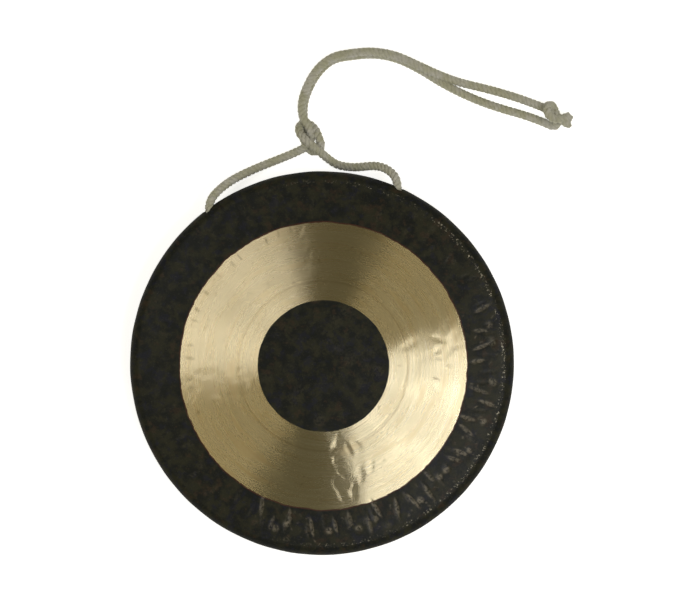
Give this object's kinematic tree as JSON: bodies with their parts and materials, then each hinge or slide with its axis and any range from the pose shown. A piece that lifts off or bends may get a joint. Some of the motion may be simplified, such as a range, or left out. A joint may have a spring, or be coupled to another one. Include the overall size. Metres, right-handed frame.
{
  "type": "tam tam gong",
  "caption": "Round flat gong with a turned-back rim, a bright lathed ring between dark hammered zones, and a knotted twisted cord loop through holes in the rim.",
  "frame": {"origin": "on the gong's axis, at the flat back edge of the rim, where it rests on a surface", "axes": "+Z along the gong's axis, out of the struck face; +Y towards the side where the hanging cord leaves the rim; +X towards the end that the cord runs to"},
  "size_m": [0.3496, 0.4024, 0.0361],
  "materials": {
    "dark_patina": "near-black mottled fire scale on hammered bronze",
    "lathed_bronze": "bright bronze with fine concentric turning marks",
    "cord": "three-strand twisted cord, undyed grey-beige"
  },
  "bodies": {
    "gong": {"gong_centre": "dark_patina", "gong_lathed_band": "lathed_bronze", "gong_dark_band": "dark_patina", "gong_shoulder": "dark_patina", "gong_rim": "dark_patina", "cord_inner_span": "cord"},
    "cord_loop": {"cord_left": "cord", "cord_right": "cord", "main_knot": "cord", "end_knot": "cord"}
  },
  "joints": [
    {"name": "cord_lift", "type": "hinge", "parent": "gong", "child": "cord_loop", "pos_m": [-0.09308, 0.12643, 0.0235], "axis": [0.9935, 0.1141, 0], "range_deg": [0, 90]}
  ]
}
